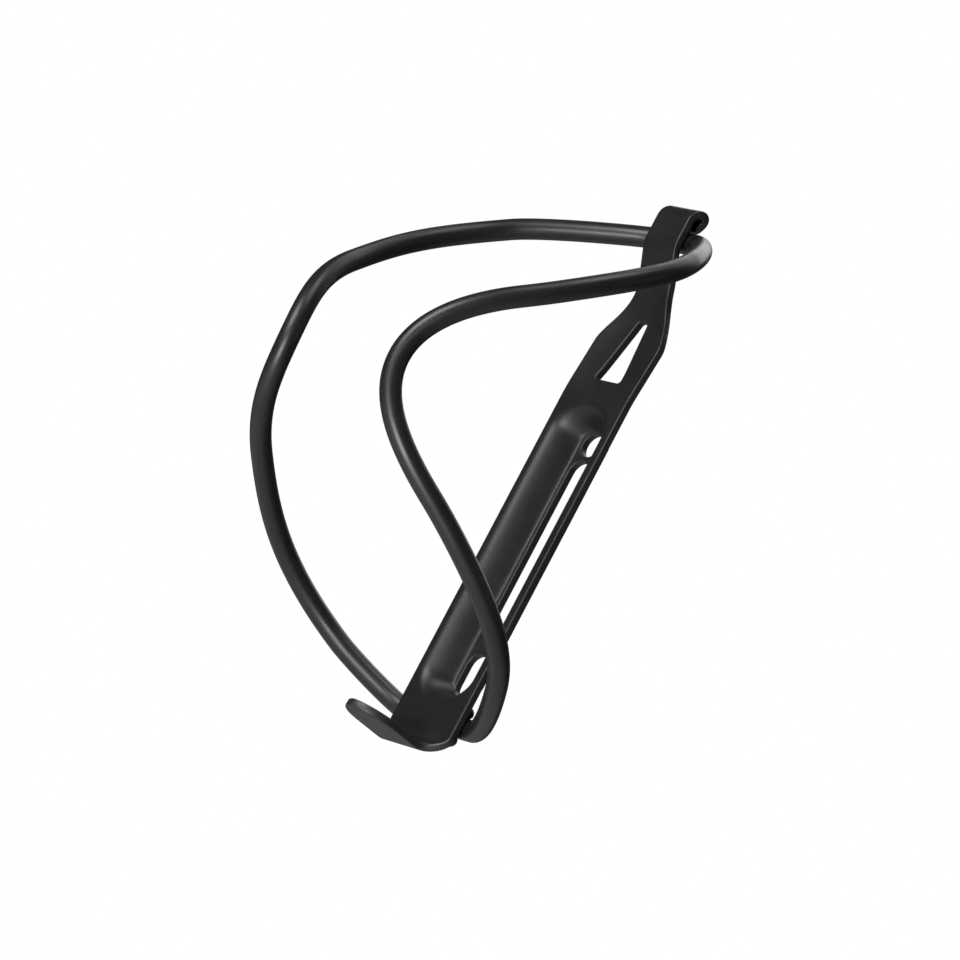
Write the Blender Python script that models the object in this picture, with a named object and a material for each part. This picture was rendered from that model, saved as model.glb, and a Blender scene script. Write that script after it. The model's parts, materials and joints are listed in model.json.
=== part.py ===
"""Water bottle cage: one bent alloy rod welded to a pressed back plate.

Units are metres, +Z runs up along the plate and +Y points away from the bottle, at the tube that
the cage is bolted to. The origin is on the plate's mounting face, the back of its channel floor,
on the bridge of metal between the two bolt slots.
"""
from math import cos, pi, radians, sin, tan

import bmesh
import bpy
from mathutils import Matrix, Vector
from mathutils.geometry import interpolate_bezier

MM = 0.001
FIT_GAP = 0.3 * MM          # clearance kept between pieces that touch

# Back plate, pressed from sheet
SHEET = 2.0 * MM            # sheet thickness
PLATE_HALF_WIDTH = 12.4 * MM
CHANNEL_DEPTH = 6.1 * MM    # how far the channel floor lies behind the rim
CHANNEL_FLOOR_HALF = 4.4 * MM
CHANNEL_RIM_HALF = 11.0 * MM
END_STEEPNESS = 1.25        # how much steeper the channel's two ends are than its sides
WALL_EASE = 0.65            # under 1, the wall is tight at the floor and gentle at the rim
WALL_SPREAD = 0.6 * MM      # how much wider the channel's rim is on the sheet's outer face
BOLT_PITCH = 64.0 * MM
BOLT_HOLE_DIAMETER = 6.3 * MM
LOWER_SLOT_CENTRE = -9.4 * MM
LOWER_SLOT_TRAVEL = 5.4 * MM
LONG_SLOT_TOP = 50.1 * MM
LONG_SLOT_BOTTOM = 4.6 * MM
WINDOW_BASE = 69.9 * MM
WINDOW_APEX = 87.2 * MM
WINDOW_BASE_HALF = 4.9 * MM
WINDOW_APEX_HALF = 1.6 * MM
WINDOW_CORNER = 0.7 * MM

# Foot that the bottle stands on
FOOT_TIP_REACH = 21.6 * MM  # from the rim plane to the tip
FOOT_HALF_WIDTH = 7.7 * MM
FOOT_TOP = -31.3 * MM
FOOT_RISE = 1.4 * MM        # how much higher the foot's tip is than its bend
FOOT_BEND = 4.0 * MM        # inside radius
FOOT_NOSE = 10.0 * MM       # length of the round tip
FOOT_TIP_HALF = 1.5 * MM

# Tongue and the curl over the rod
LEAN_START = 66.0 * MM      # height at which the plate starts to lean back
SHOULDER_BOTTOM = 79.8 * MM
SHOULDER_TOP = 95.5 * MM
SHOULDER_EASE = 0.85        # under 1, the plate narrows fast at first and then slowly
TONGUE_HALF_WIDTH = 6.2 * MM
SET_BACK = 2.1 * MM         # how far the bend below the tongue lies behind the rim plane
SET_BACK_HEIGHT = 92.0 * MM
SET_BACK_BEND = 24.0 * MM
TONGUE_FRONT = -12.6 * MM   # foremost face of the tongue
TONGUE_BEND_HEIGHT = 105.5 * MM
TONGUE_BEND = 8.0 * MM
CURL_HEIGHT = 112.8 * MM    # where the curl starts
CURL_FRONT = 4.3 * MM       # outside radius of its first quarter turn
CURL_BACK = 2.7 * MM        # outside radius of its second
LIP_DROP = 2.4 * MM         # straight end behind the rod
LIP_HALF_WIDTH = 2.5 * MM
LIP_TAPER = 10.0 * MM
HOLLOW = 1.0 * MM           # how far the plate above the channel is dished
HOLLOW_STARTS = (62 * MM, 74 * MM)
HOLLOW_ENDS = (88 * MM, 98 * MM)

# Rod
ROD_RADIUS = 2.65 * MM
HOOP_RADIUS = 40.0 * MM     # rod centre line about the bottle's axis
OUT_OF_ROUND = 1.25 * MM    # how far the roll bulges and dips from a true circle
BULGE_AT = 70.5             # degrees from straight back
BOTTLE_AXIS = -46.2 * MM    # Y of the axis at mid height
BOTTLE_LEAN = 3.6           # degrees the bottle leans away from the plate at its top
MID_HEIGHT = 40.2 * MM
HOOP_SPREAD = 78.7 * MM     # between the two hoops' centres
HOOP_TILT = 35.0            # degrees
FRONT_LEAVES = 118.5        # degrees from straight back at which the front bend starts
FRONT_HANDLE = 32.2 * MM    # reach of the bend's curve beyond that, unrolled

TOP_LEAVES = 59.0           # degrees from straight back at which the rod leaves the upper hoop
TOP_HOOP_EASE = 9.0 * MM    # reach of the curve from the hoop into that run, at each of its ends
TOP_TUCK_EASE = 4.0 * MM
TUCK_PAST = 0.8 * MM        # how far the straight run behind the tongue passes its edges
ROD_TOP = 108.5 * MM

LOWER_LEAVES = 52.0         # the same for the lower hoop and the run behind the plate's foot
LOWER_HOOP_EASE = 5.0 * MM
LOWER_TUCK_EASE = 4.6 * MM
LOWER_HEIGHT = -22.9 * MM
TUCK_SHORT = 0.1 * MM       # how far the run behind the foot stops short of the plate's edges
ROD_END = 3.0 * MM          # half the gap between the rod's two ends

# Weld beads
LOWER_BEAD = 1.15 * MM      # radius of the bead under the rod behind the foot of the plate
UPPER_BEAD = 0.95 * MM      # and of the one over it
LOWER_BEAD_HALF = 10.0 * MM
BEAD_BACK = 1.15 * MM       # how far the upper one stands behind the plate, clear of the channel
TOP_BEAD = 0.7 * MM         # radius of the bead inside the curl
TOP_BEAD_HALF = 3.0 * MM

# Worked out from the sizes above
RIM_FACE = -SHEET - CHANNEL_DEPTH           # Y of the rim's face towards the bottle
UPPER_HOLE = LOWER_SLOT_CENTRE + BOLT_PITCH
LOWER_BACK = RIM_FACE + SHEET + FIT_GAP + ROD_RADIUS   # Y of the rod behind the foot of the plate
ROD_BACK = TONGUE_FRONT + SHEET + FIT_GAP + ROD_RADIUS  # and behind the tongue
TOP_TUCK_HALF = TONGUE_HALF_WIDTH + TUCK_PAST           # half the width over which the rod
LOWER_TUCK_HALF = PLATE_HALF_WIDTH - TUCK_SHORT         # lies straight across, top and bottom
CHANNEL_HIGH = UPPER_HOLE                   # the channel's ends are round about these heights
CHANNEL_LOW = LOWER_SLOT_CENTRE - 1.7 * MM
CURL_TOP_Y = TONGUE_FRONT + CURL_FRONT      # Y of the curl's highest line
CUT_FRONT = RIM_FACE - 5 * MM
CUT_BACK = 6 * MM

# Fineness of the meshes
ROW_FINE = 1.7 * MM
ROW_COARSE = 7.0 * MM
WALL_STEPS = 4
SLOT_STEPS = 9
CURL_STEPS = 9
ROD_FINENESS = 2
BEAD_RINGS = 12
BEAD_SIDES = 8
PROBE = 0.2 * MM            # step along the plate's profile for its direction


def clear_scene():
    for item in list(bpy.data.objects):
        bpy.data.objects.remove(item, do_unlink=True)


def material(name, colour, roughness, metallic):
    made = bpy.data.materials.new(name)
    made.use_nodes = True
    shader = made.node_tree.nodes["Principled BSDF"]
    shader.inputs["Base Color"].default_value = (*colour, 1.0)
    shader.inputs["Roughness"].default_value = roughness
    shader.inputs["Metallic"].default_value = metallic
    return made


def add_mesh(name, bm, finish=None):
    bmesh.ops.recalc_face_normals(bm, faces=bm.faces)
    mesh = bpy.data.meshes.new(name)
    bm.to_mesh(mesh)
    bm.free()
    mesh.shade_smooth()
    mesh.set_sharp_from_angle(angle=radians(40))
    item = bpy.data.objects.new(name, mesh)
    bpy.context.scene.collection.objects.link(item)
    if finish:
        mesh.materials.append(finish)
    return item


# ---------------------------------------------------------------- rod

def on_bottle(angle, height):
    """A point on the rod's roll: the angle is from straight back, the height is along the axis."""
    radius = HOOP_RADIUS + OUT_OF_ROUND * cos(4 * (angle - radians(BULGE_AT)))
    flat = Vector((radius * sin(angle), radius * cos(angle), height))
    lean = Matrix.Rotation(radians(BOTTLE_LEAN), 3, "X")
    return lean @ flat + Vector((0.0, BOTTLE_AXIS, MID_HEIGHT))


def hoop_height(angle):
    """Height of the upper hoop above the middle; the lower one mirrors it."""
    rise = HOOP_RADIUS * tan(radians(HOOP_TILT))
    return HOOP_SPREAD / 2 + rise * cos(angle)


def front_bend(steps):
    """Unrolled points (distance round, height) of the bend that joins the hoops at the front."""
    start = radians(FRONT_LEAVES)
    slope = -tan(radians(HOOP_TILT)) * sin(start)
    place = Vector((HOOP_RADIUS * start, hoop_height(start)))
    handle = place + Vector((1.0, slope)).normalized() * FRONT_HANDLE
    low_place = Vector((place.x, -place.y))
    low_handle = Vector((handle.x, -handle.y))
    return interpolate_bezier(place, handle, low_handle, low_place, steps)


def side_run():
    """Centre line of one side, from where it leaves the upper hoop to where it leaves the lower one."""
    steps = 12
    front = radians(FRONT_LEAVES)
    first = radians(TOP_LEAVES)
    last = radians(LOWER_LEAVES)
    upper = [first + (front - first) * i / steps for i in range(steps)]
    lower = [front + (last - front) * i / steps for i in range(1, steps + 1)]
    points = [on_bottle(angle, hoop_height(angle)) for angle in upper]
    points += [on_bottle(round_by / HOOP_RADIUS, height) for round_by, height in front_bend(25)]
    return points + [on_bottle(angle, -hoop_height(angle)) for angle in lower]


def rounded(corners, radii, steps=7):
    """A path through straight runs, with each inner corner replaced by an arc of its radius."""
    path = [corners[0]]
    for before, corner, after, radius in zip(corners, corners[1:], corners[2:], radii):
        back = (before - corner).normalized()
        ahead = (after - corner).normalized()
        half = back.angle(ahead) / 2
        reach = radius * cos(half) / sin(half)
        centre = corner + (back + ahead).normalized() * (radius / sin(half))
        one = corner + back * reach - centre
        two = corner + ahead * reach - centre
        arc = one.angle(two)
        for i in range(steps + 1):
            share = i / steps
            path.append(centre + (one * sin(arc * (1 - share)) + two * sin(arc * share)) / sin(arc))
    path.append(corners[-1])
    return path


def tail(leaves, before, hoop_ease, tuck, tuck_ease):
    """The rod's bend from where it leaves a hoop to where it lies straight across behind the plate."""
    run = (leaves - before).normalized()
    return interpolate_bezier(leaves, leaves + run * hoop_ease,
                              tuck + Vector((tuck_ease, 0.0, 0.0)), tuck, 16)


def half_rod():
    """Right half of the rod, from the middle of the run behind the tongue to its lower end."""
    side = side_run()
    top_tuck = Vector((TOP_TUCK_HALF, ROD_BACK, ROD_TOP))
    top = tail(side[0], side[1], TOP_HOOP_EASE, top_tuck, TOP_TUCK_EASE)
    low_tuck = Vector((LOWER_TUCK_HALF, LOWER_BACK, LOWER_HEIGHT))
    low = tail(side[-1], side[-2], LOWER_HOOP_EASE, low_tuck, LOWER_TUCK_EASE)
    middle = Vector((0.0, ROD_BACK, ROD_TOP))
    end = Vector((ROD_END, LOWER_BACK, LOWER_HEIGHT))
    return [middle, *reversed(top), *side[1:-1], *low, end]


def cage_rod(finish):
    half = half_rod()
    mirror = Matrix.Scale(-1, 3, Vector((1, 0, 0)))
    path = [mirror @ p for p in reversed(half[1:])] + half
    curve = bpy.data.curves.new("cage_rod", "CURVE")
    curve.dimensions = "3D"
    curve.bevel_depth = ROD_RADIUS
    curve.bevel_resolution = ROD_FINENESS
    curve.use_fill_caps = True
    spline = curve.splines.new("POLY")
    spline.points.add(len(path) - 1)
    for point, place in zip(spline.points, path):
        point.co = (*place, 1.0)
    item = bpy.data.objects.new("cage_rod", curve)
    bpy.context.scene.collection.objects.link(item)
    curve.materials.append(finish)
    return item


# ---------------------------------------------------------------- back plate

def smooth(low, high, value):
    share = min(max((value - low) / (high - low), 0.0), 1.0)
    return share * share * (3 - 2 * share)


def side_profile():
    """The plate's inner face seen from the side, from the foot's tip round to the lip."""
    tip = Vector((0.0, RIM_FACE - FOOT_TIP_REACH, FOOT_TOP + FOOT_RISE))
    corners = [tip, Vector((0.0, RIM_FACE, FOOT_TOP)), Vector((0.0, RIM_FACE, LEAN_START)),
               Vector((0.0, RIM_FACE + SET_BACK, SET_BACK_HEIGHT)),
               Vector((0.0, TONGUE_FRONT, TONGUE_BEND_HEIGHT)),
               Vector((0.0, TONGUE_FRONT, CURL_HEIGHT))]
    path = rounded(corners, [FOOT_BEND, 60 * MM, SET_BACK_BEND, TONGUE_BEND])
    for radius, first in ((CURL_FRONT, 0.0), (CURL_BACK, pi / 2)):
        middle = Vector((0.0, CURL_TOP_Y, CURL_HEIGHT + CURL_FRONT - radius))
        for i in range(1, CURL_STEPS + 1):
            around = first + pi / 2 * i / CURL_STEPS
            path.append(middle + radius * Vector((0.0, -cos(around), sin(around))))
    return path + [path[-1] - Vector((0.0, 0.0, LIP_DROP))]


def along(path):
    """Distance of each point of a path from its start."""
    total = [0.0]
    for one, two in zip(path, path[1:]):
        total.append(total[-1] + (two - one).length)
    return total


def stations(path):
    """Distances at which the plate has a row of points: close together where its shape changes."""
    length = along(path)
    rows = [length[0]]
    while rows[-1] < length[-1] - ROW_FINE:
        height = read(path, length, rows[-1]).z
        upright = abs(read(path, length, rows[-1]).y - RIM_FACE) < 0.1 * MM
        plain = upright and CHANNEL_LOW + ROW_COARSE < height < CHANNEL_HIGH - ROW_COARSE
        rows.append(rows[-1] + (ROW_COARSE if plain else ROW_FINE))
    return rows[:-1] + [length[-1]]


def read(path, length, distance):
    """The point this far along a path."""
    for i in range(len(path) - 1):
        if distance <= length[i + 1]:
            share = (distance - length[i]) / (length[i + 1] - length[i])
            return path[i].lerp(path[i + 1], share)
    return path[-1].copy()


def foot_outline(distance):
    """Half the foot's width this far from its tip: round at the tip, then widening into the plate."""
    nose = min(distance / FOOT_NOSE, 1.0)
    width = max(FOOT_HALF_WIDTH * (1 - (1 - nose) ** 2.2) ** 0.62, FOOT_TIP_HALF)
    start = FOOT_TIP_REACH - FOOT_BEND
    widening = smooth(start, start + 1.6 * FOOT_BEND, distance)
    return width + (PLATE_HALF_WIDTH - FOOT_HALF_WIDTH) * widening


def half_width(distance, left, point):
    """Half the plate's width, at a distance from the foot's tip and with so much left to the lip."""
    if distance < FOOT_TIP_REACH + FOOT_BEND:
        return foot_outline(distance)
    width = PLATE_HALF_WIDTH
    narrowed = smooth(SHOULDER_BOTTOM, SHOULDER_TOP, point.z) ** SHOULDER_EASE
    width -= (PLATE_HALF_WIDTH - TONGUE_HALF_WIDTH) * narrowed
    if left < LIP_TAPER:
        width = LIP_HALF_WIDTH + (width - LIP_HALF_WIDTH) * (1 - (1 - left / LIP_TAPER) ** 2) ** 0.5
    return width


def pressed(x, z, share, spread):
    """How far the press has pushed a face of the sheet back, at a place on the upright part.

    The spread widens the channel's rim for the sheet's outer face, which keeps the wall's thickness.
    """
    off_end = max(CHANNEL_LOW - z, z - CHANNEL_HIGH, 0.0)
    off_line = (x * x + (END_STEEPNESS * off_end) ** 2) ** 0.5
    along = (off_line - CHANNEL_FLOOR_HALF) / (CHANNEL_RIM_HALF + spread - CHANNEL_FLOOR_HALF)
    channel = CHANNEL_DEPTH * (1 - smooth(0, 1, max(along, 0) ** WALL_EASE))
    fade = smooth(*HOLLOW_STARTS, z) * (1 - smooth(*HOLLOW_ENDS, z))
    return channel + HOLLOW * fade * (1 - share * share)


def column_shares():
    """Where the plate's columns of points lie across its width, as shares of the half width."""
    floor = CHANNEL_FLOOR_HALF / PLATE_HALF_WIDTH
    rim = CHANNEL_RIM_HALF / PLATE_HALF_WIDTH
    wall = [floor + (rim - floor) * i / WALL_STEPS for i in range(WALL_STEPS + 1)]
    side = [floor / 2, *wall, 1.0]
    return [-s for s in reversed(side)] + [0.0] + side


def plate_row(path, length, distance):
    """Two rows of points across the plate at this distance: its inner face, then its outer face."""
    point = read(path, length, distance)
    ahead = read(path, length, min(distance + PROBE, length[-1]))
    behind = read(path, length, max(distance - PROBE, 0.0))
    run = (ahead - behind).normalized()
    back = Vector((0.0, run.z, -run.y))
    width = half_width(distance, length[-1] - distance, point)
    on_foot = distance < FOOT_TIP_REACH
    faces = []
    for thickness, spread in ((0.0, 0.0), (SHEET, WALL_SPREAD)):
        row = []
        for share in column_shares():
            x = share * width
            push = 0.0 if on_foot else pressed(x, point.z, share, spread)
            row.append(point + Vector((x, 0.0, 0.0)) + back * (push + thickness))
        faces.append(row)
    return faces


def plate_sheet():
    """The pressed plate before its holes are cut: two faces joined round their edge."""
    path = side_profile()
    length = along(path)
    bm = bmesh.new()
    rows = [[[bm.verts.new(p) for p in face] for face in plate_row(path, length, distance)]
            for distance in stations(path)]
    count = len(rows[0][0])
    for (front, back), (next_front, next_back) in zip(rows, rows[1:]):
        for i in range(count - 1):
            bm.faces.new((front[i], front[i + 1], next_front[i + 1], next_front[i]))
            bm.faces.new((back[i + 1], back[i], next_back[i], next_back[i + 1]))
        bm.faces.new((front[0], next_front[0], next_back[0], back[0]))
        bm.faces.new((front[-1], back[-1], next_back[-1], next_front[-1]))
    for front, back in (rows[0], [face[::-1] for face in rows[-1]]):
        for i in range(count - 1):
            bm.faces.new((front[i], back[i], back[i + 1], front[i + 1]))
    bmesh.ops.triangulate(bm, faces=bm.faces)   # the Booleans need flat faces
    return bm


def cutter(name, outline):
    """A prism along Y through the plate, from an outline of (x, z) points."""
    bm = bmesh.new()
    face = bm.faces.new([bm.verts.new((x, CUT_FRONT, z)) for x, z in outline])
    made = bmesh.ops.extrude_face_region(bm, geom=[face])["geom"]
    moved = [v for v in made if isinstance(v, bmesh.types.BMVert)]
    bmesh.ops.translate(bm, verts=moved, vec=(0.0, CUT_BACK - CUT_FRONT, 0.0))
    item = add_mesh(name, bm)
    item.hide_render = True
    item.display_type = "WIRE"
    return item


def slot_outline(low, high):
    """A slot with round ends: low and high are its extreme heights."""
    radius = BOLT_HOLE_DIAMETER / 2
    points = []
    for centre, start in ((high - radius, 0.0), (low + radius, pi)):
        for i in range(SLOT_STEPS + 1):
            around = start + pi * i / SLOT_STEPS
            points.append((radius * cos(around), centre + radius * sin(around)))
    return points


def round_outline(height):
    radius = BOLT_HOLE_DIAMETER / 2
    count = 2 * SLOT_STEPS
    return [(radius * cos(2 * pi * i / count), height + radius * sin(2 * pi * i / count))
            for i in range(count)]


def window_outline():
    """The window's four corners, rounded."""
    corners = [Vector((x, 0.0, z)) for x, z in (
        (WINDOW_BASE_HALF, WINDOW_BASE), (WINDOW_APEX_HALF, WINDOW_APEX),
        (-WINDOW_APEX_HALF, WINDOW_APEX), (-WINDOW_BASE_HALF, WINDOW_BASE))]
    start = (corners[0] + corners[3]) / 2
    path = rounded([start, *corners, start], [WINDOW_CORNER] * 4, 3)
    return [(p.x, p.z) for p in path[1:-1]]


def back_plate(finish):
    item = add_mesh("back_plate", plate_sheet(), finish)
    half = BOLT_HOLE_DIAMETER / 2 + LOWER_SLOT_TRAVEL / 2
    holes = {
        "upper_bolt_hole": round_outline(UPPER_HOLE),
        "lower_bolt_slot": slot_outline(LOWER_SLOT_CENTRE - half, LOWER_SLOT_CENTRE + half),
        "long_slot": slot_outline(LONG_SLOT_BOTTOM, LONG_SLOT_TOP),
        "window": window_outline(),
    }
    for name, outline in holes.items():
        cut = item.modifiers.new(name, "BOOLEAN")
        cut.operation = "DIFFERENCE"
        cut.object = cutter(name + "_cutter", outline)
    return item


# ---------------------------------------------------------------- welds

def touching(one, one_reach, two, two_reach, side):
    """Centre (y, z) of a bead at these distances from two centres, on one side of the line between them."""
    line = two - one
    span = line.length
    ahead = (one_reach ** 2 - two_reach ** 2 + span ** 2) / (2 * span)
    off = (one_reach ** 2 - ahead ** 2) ** 0.5
    unit = line / span
    return one + unit * ahead + Vector((-unit.y, unit.x)) * off * side


def over_rod(rod, y, radius):
    """Centre of a bead that rests on top of the rod at this Y."""
    reach = ROD_RADIUS + FIT_GAP + radius
    return Vector((y, rod.y + (reach ** 2 - (rod.x - y) ** 2) ** 0.5))


def bead(name, centre, radius, half_length, finish):
    """A round-ended bead along X, with the slight steps that a weld leaves."""
    bm = bmesh.new()
    rings = []
    for i in range(BEAD_RINGS + 1):
        across = -1 + 2 * i / BEAD_RINGS
        swell = max(1 - across ** 6, 0.0) ** 0.5 * (1 - 0.06 * (i % 2))
        x = half_length * across
        if i in (0, BEAD_RINGS):
            rings.append([bm.verts.new((x, centre.x, centre.y))])
            continue
        reach = radius * swell
        rings.append([bm.verts.new((x, centre.x + reach * cos(a), centre.y + reach * sin(a)))
                      for a in (2 * pi * j / BEAD_SIDES for j in range(BEAD_SIDES))])
    for one, two in zip(rings, rings[1:]):
        for j in range(BEAD_SIDES):
            k = (j + 1) % BEAD_SIDES
            ring = [one[j % len(one)], one[k % len(one)], two[k % len(two)], two[j % len(two)]]
            bm.faces.new(list(dict.fromkeys(ring)))
    return add_mesh(name, bm, finish)


def welds(finish):
    """Beads between the rod and the plate: two behind the foot and one inside the curl."""
    rod = Vector((LOWER_BACK, LOWER_HEIGHT))
    bend = Vector((RIM_FACE - FOOT_BEND, FOOT_TOP + FOOT_BEND))
    below = touching(rod, ROD_RADIUS + FIT_GAP + LOWER_BEAD,
                     bend, FOOT_BEND + SHEET + FIT_GAP + LOWER_BEAD, 1)
    bead("lower_weld_below", below, LOWER_BEAD, LOWER_BEAD_HALF, finish)
    above = over_rod(rod, RIM_FACE + SHEET + BEAD_BACK + UPPER_BEAD, UPPER_BEAD)
    bead("lower_weld_above", above, UPPER_BEAD, LOWER_BEAD_HALF, finish)
    inside = over_rod(Vector((ROD_BACK, ROD_TOP)),
                      CURL_TOP_Y + CURL_BACK - SHEET - FIT_GAP - TOP_BEAD, TOP_BEAD)
    bead("top_weld", inside, TOP_BEAD, TOP_BEAD_HALF, finish)


def main():
    clear_scene()
    black = material("black_anodised", (0.018, 0.018, 0.020), 0.38, 0.6)
    rod_black = material("black_anodised_rod", (0.018, 0.018, 0.020), 0.34, 0.6)
    weld_black = material("black_weld", (0.016, 0.016, 0.017), 0.5, 0.5)
    cage_rod(rod_black)
    back_plate(black)
    welds(weld_black)


main()
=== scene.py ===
"""Water bottle cage: a bent alloy rod welded to a pressed back plate, in a pale studio.

Lengths are metres. +Z runs up along the plate and +Y points away from the bottle, into the tube
that the cage is bolted to. The origin is on the back of the plate's channel floor.
"""

import json
from math import cos, pi, radians, sin, tan

import bmesh
import bpy
import numpy as np
from bpy.props import (FloatProperty, FloatVectorProperty, IntProperty, PointerProperty)
from bpy.types import Operator, Panel, PropertyGroup
from mathutils import Matrix, Vector
from mathutils.geometry import delaunay_2d_cdt, interpolate_bezier

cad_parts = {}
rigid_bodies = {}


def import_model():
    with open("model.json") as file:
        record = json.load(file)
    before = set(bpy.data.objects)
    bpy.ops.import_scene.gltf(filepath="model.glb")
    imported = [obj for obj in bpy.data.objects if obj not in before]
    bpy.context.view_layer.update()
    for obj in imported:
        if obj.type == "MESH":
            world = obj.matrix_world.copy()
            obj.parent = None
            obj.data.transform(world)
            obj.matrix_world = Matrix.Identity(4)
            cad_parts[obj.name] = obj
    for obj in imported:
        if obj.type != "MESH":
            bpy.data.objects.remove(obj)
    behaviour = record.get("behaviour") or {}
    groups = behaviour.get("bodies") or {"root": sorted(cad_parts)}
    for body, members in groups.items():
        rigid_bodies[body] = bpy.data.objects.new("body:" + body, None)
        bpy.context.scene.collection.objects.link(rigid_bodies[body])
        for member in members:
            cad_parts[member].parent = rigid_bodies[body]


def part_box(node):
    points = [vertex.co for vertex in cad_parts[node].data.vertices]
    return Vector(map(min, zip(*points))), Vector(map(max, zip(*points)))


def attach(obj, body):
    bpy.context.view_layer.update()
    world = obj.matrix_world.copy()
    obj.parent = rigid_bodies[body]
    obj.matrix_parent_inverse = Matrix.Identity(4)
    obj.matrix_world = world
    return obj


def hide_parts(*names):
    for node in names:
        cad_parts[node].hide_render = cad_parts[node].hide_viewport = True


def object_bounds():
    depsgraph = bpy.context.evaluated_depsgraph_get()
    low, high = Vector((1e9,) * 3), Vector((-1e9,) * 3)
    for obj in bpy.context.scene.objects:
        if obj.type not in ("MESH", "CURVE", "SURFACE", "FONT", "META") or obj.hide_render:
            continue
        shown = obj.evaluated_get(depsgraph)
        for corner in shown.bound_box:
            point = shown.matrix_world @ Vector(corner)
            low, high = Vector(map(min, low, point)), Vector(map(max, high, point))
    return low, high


bl_info = {
    "name": "Bottle Cage",
    "version": (1, 0, 0),
    "blender": (4, 5, 0),
    "location": "View3D > Sidebar > Cage",
    "description": "Makes a bent rod bottle cage with a pressed back plate",
    "category": "Object",
}

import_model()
CAD_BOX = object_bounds()
PLATE_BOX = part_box("back_plate")
MM = 0.001

# The plate's form
LEAN_BEND = 60 * MM                 # radius where the plate starts to lean back
CHANNEL_PAST_SLOT = 1.7 * MM        # the channel's low end is round about this far below the slot
HOLLOW_STARTS = (62 * MM, 74 * MM)  # heights between which the dish comes in
HOLLOW_ENDS = (88 * MM, 98 * MM)    # and between which it goes out
FOOT_FLARE = 1.6                    # length over which the foot widens, in bend radii
NOSE_SWEEP, NOSE_FULLNESS = 2.2, 0.62   # powers that shape the foot's tip
UPRIGHT_MARGIN = 2 * MM

# Points along outlines and paths
ARC_STEPS = 24
CORNER_STEPS = 10
TIP_POINTS, SIDE_POINTS = 60, 600
OUTLINE_SPACING = 0.5 * MM
SLOT_SPACING = 0.35 * MM
WINDOW_SPACING = 0.3 * MM
ROW_HEIGHT = 0.866                  # height of an even triangle, as a share of its side
EDGE_MARGIN = 0.62                  # grid points keep this share of a step off the outline
MERGE_WITHIN = 1e-6
FRONT_POINTS = 90
TAIL_POINTS = 40

# Rod and beads
ROD_CLEARANCE = 0.3 * MM            # between the rod and the sheet
BEAD_SIDES = 20
BEAD_SPACING = 0.2 * MM
BEAD_END = 1.3                      # length of a bead's round end, in radii
BLUNT_END = 1.02                    # over 1, so that a bead doesn't end in a point
STEP_SHARPNESS = 1.7
WANDER_SCALE = 420.0
WANDER_GAIN = 4.0

# Finish
LIGHTER = 1.35                      # clouding, as a share of the base colour
CLOUD_SCALE, GLOSS_SCALE, EDGE_SCALE = 60.0, 140.0, 240.0
BUMP_STRENGTH = 0.015
BUMP_DEPTH = 0.1 * MM

# Stage
FLOOR_GLOW = 1.05
WORLD_FILL = 0.06
# Name, azimuth and elevation in degrees, distance and side in metres, power in watts
LIGHTS = (
    ("left_box", 0.0, 25.0, 0.8, 0.40, 7.0),
    ("low_box", 28.0, -20.0, 0.6, 0.25, 4.0),
    ("right_box", 130.0, 20.0, 0.9, 0.40, 0.2),
    ("top_box", 35.0, 75.0, 0.8, 0.40, 2.5),
    ("back_box", 215.0, 50.0, 0.9, 0.70, 3.0),
)


def size(name, text, default):
    """A length that a user may change, in metres."""
    return FloatProperty(name=name, description=text, default=default, unit="LENGTH", precision=5)


def turn(name, text, degrees):
    return FloatProperty(name=name, description=text, default=radians(degrees), subtype="ANGLE")


def share(name, text, default, most=1.0):
    return FloatProperty(name=name, description=text, default=default, min=0.0, max=most)


def colour(name, text, default):
    return FloatVectorProperty(name=name, description=text, default=default, subtype="COLOR",
                               size=3, min=0.0, max=1.0)


# ---------------------------------------------------------------- settings

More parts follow.
